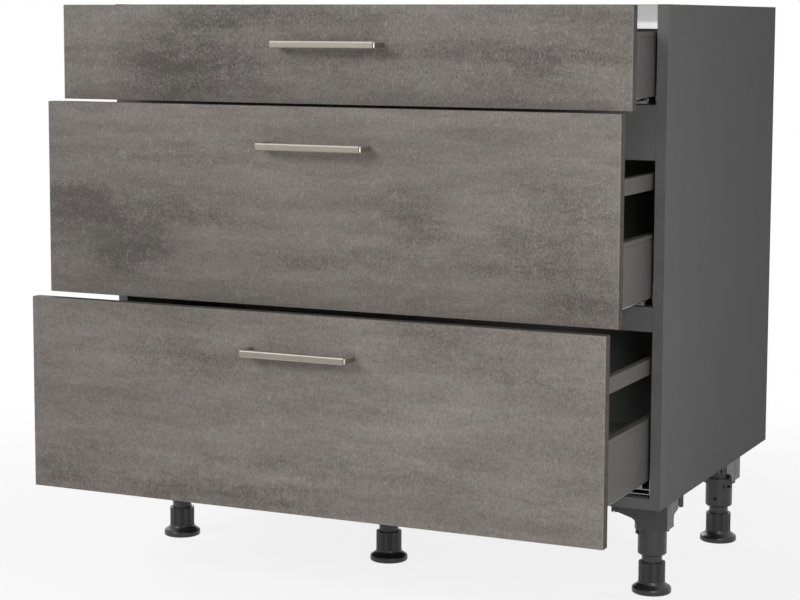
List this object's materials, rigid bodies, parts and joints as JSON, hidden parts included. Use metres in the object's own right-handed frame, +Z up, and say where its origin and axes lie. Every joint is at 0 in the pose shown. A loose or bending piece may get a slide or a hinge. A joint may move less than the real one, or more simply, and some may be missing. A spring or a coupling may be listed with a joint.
{
  "type": "base cabinet with drawers",
  "caption": "Kitchen base cabinet on adjustable feet, with full-extension drawers, bow handles and an open top for a worktop.",
  "frame": {"origin": "on the floor, under the middle of the box around the cabinet as it stands, drawers partly open", "axes": "+X to the cabinet's right as seen from the front, +Y from the fronts to the wall, +Z up"},
  "size_m": [0.9, 0.837, 0.865],
  "materials": {
    "front_board": "matt melamine board with a mottled concrete-look decor and edge banding",
    "carcass_board": "satin grey melamine board",
    "back_board": "satin grey hardboard",
    "drawer_board": "satin grey melamine board",
    "grey_steel": "satin powder coat",
    "pale_steel": "satin pale grey coat",
    "zinc_steel": "zinc plated",
    "satin_nickel": "satin brushed nickel",
    "black_plastic": "moulded, fine grain",
    "white_nylon": "smooth",
    "dowel_wood": "fluted beech"
  },
  "bodies": {
    "root": {"side_panel_right": "carcass_board", "side_panel_left": "carcass_board", "bottom_board": "carcass_board", "back_panel": "back_board", "top_rail_front": "pale_steel", "top_rail_rear": "carcass_board", "cross_rail_upper": "carcass_board", "cross_rail_lower": "carcass_board", "carcass_dowels": "dowel_wood", "rail_screws": "zinc_steel", "rail_glides": "white_nylon", "leg_tubes": "black_plastic", "socket_screws": "zinc_steel", "cabinet_rails_1": "zinc_steel", "cabinet_rails_2": "zinc_steel", "cabinet_rails_3": "zinc_steel", "foot_socket_front_right": "black_plastic", "foot_socket_front_left": "black_plastic", "foot_socket_rear_right": "black_plastic", "foot_socket_rear_left": "black_plastic", "foot_socket_front_middle": "black_plastic", "foot_socket_rear_middle": "black_plastic"},
    "drawer_1": {"drawer_front_1": "front_board", "handle_1": "satin_nickel", "handle_screws_1": "zinc_steel", "drawer_side_right_1": "grey_steel", "drawer_side_left_1": "grey_steel", "drawer_bottom_1": "drawer_board", "drawer_back_1": "drawer_board", "front_brackets_1": "zinc_steel", "drawer_rails_1": "zinc_steel"},
    "middle_rails_1": {"middle_rails_1": "zinc_steel"},
    "drawer_2": {"drawer_front_2": "front_board", "handle_2": "satin_nickel", "handle_screws_2": "zinc_steel", "drawer_side_right_2": "grey_steel", "drawer_side_left_2": "grey_steel", "drawer_bottom_2": "drawer_board", "drawer_back_2": "drawer_board", "front_brackets_2": "zinc_steel", "drawer_rails_2": "zinc_steel", "gallery_rails_2": "grey_steel"},
    "middle_rails_2": {"middle_rails_2": "zinc_steel"},
    "drawer_3": {"drawer_front_3": "front_board", "handle_3": "satin_nickel", "handle_screws_3": "zinc_steel", "drawer_side_right_3": "grey_steel", "drawer_side_left_3": "grey_steel", "drawer_bottom_3": "drawer_board", "drawer_back_3": "drawer_board", "front_brackets_3": "zinc_steel", "drawer_rails_3": "zinc_steel", "gallery_rails_3": "grey_steel"},
    "middle_rails_3": {"middle_rails_3": "zinc_steel"},
    "foot_front_right": {"foot_adjuster_front_right": "black_plastic"},
    "foot_front_left": {"foot_adjuster_front_left": "black_plastic"},
    "foot_rear_right": {"foot_adjuster_rear_right": "black_plastic"},
    "foot_rear_left": {"foot_adjuster_rear_left": "black_plastic"},
    "foot_front_middle": {"foot_adjuster_front_middle": "black_plastic"},
    "foot_rear_middle": {"foot_adjuster_rear_middle": "black_plastic"}
  },
  "joints": [
    {"name": "drawer_1_slide", "type": "slide", "parent": "root", "child": "drawer_1", "axis": [0, -1, 0], "range_m": [-0.129, 0.33]},
    {"name": "drawer_2_slide", "type": "slide", "parent": "root", "child": "drawer_2", "axis": [0, -1, 0], "range_m": [-0.172, 0.287]},
    {"name": "drawer_3_slide", "type": "slide", "parent": "root", "child": "drawer_3", "axis": [0, -1, 0], "range_m": [-0.22, 0.239]},
    {"name": "middle_rails_1_slide", "type": "slide", "parent": "root", "child": "middle_rails_1", "axis": [0, -1, 0], "range_m": [-0.0645, 0.165]},
    {"name": "middle_rails_2_slide", "type": "slide", "parent": "root", "child": "middle_rails_2", "axis": [0, -1, 0], "range_m": [-0.086, 0.1435]},
    {"name": "middle_rails_3_slide", "type": "slide", "parent": "root", "child": "middle_rails_3", "axis": [0, -1, 0], "range_m": [-0.11, 0.1195]},
    {"name": "foot_front_right_height", "type": "slide", "parent": "root", "child": "foot_front_right", "axis": [0, 0, -1], "range_m": [-0.005, 0.02]},
    {"name": "foot_front_left_height", "type": "slide", "parent": "root", "child": "foot_front_left", "axis": [0, 0, -1], "range_m": [-0.005, 0.02]},
    {"name": "foot_rear_right_height", "type": "slide", "parent": "root", "child": "foot_rear_right", "axis": [0, 0, -1], "range_m": [-0.005, 0.02]},
    {"name": "foot_rear_left_height", "type": "slide", "parent": "root", "child": "foot_rear_left", "axis": [0, 0, -1], "range_m": [-0.005, 0.02]},
    {"name": "foot_front_middle_height", "type": "slide", "parent": "root", "child": "foot_front_middle", "axis": [0, 0, -1], "range_m": [-0.005, 0.02]},
    {"name": "foot_rear_middle_height", "type": "slide", "parent": "root", "child": "foot_rear_middle", "axis": [0, 0, -1], "range_m": [-0.005, 0.02]}
  ],
  "couplings": [
    {"joint": "middle_rails_1_slide", "follows": "drawer_1_slide", "ratio": 0.5},
    {"joint": "middle_rails_2_slide", "follows": "drawer_2_slide", "ratio": 0.5},
    {"joint": "middle_rails_3_slide", "follows": "drawer_3_slide", "ratio": 0.5}
  ]
}
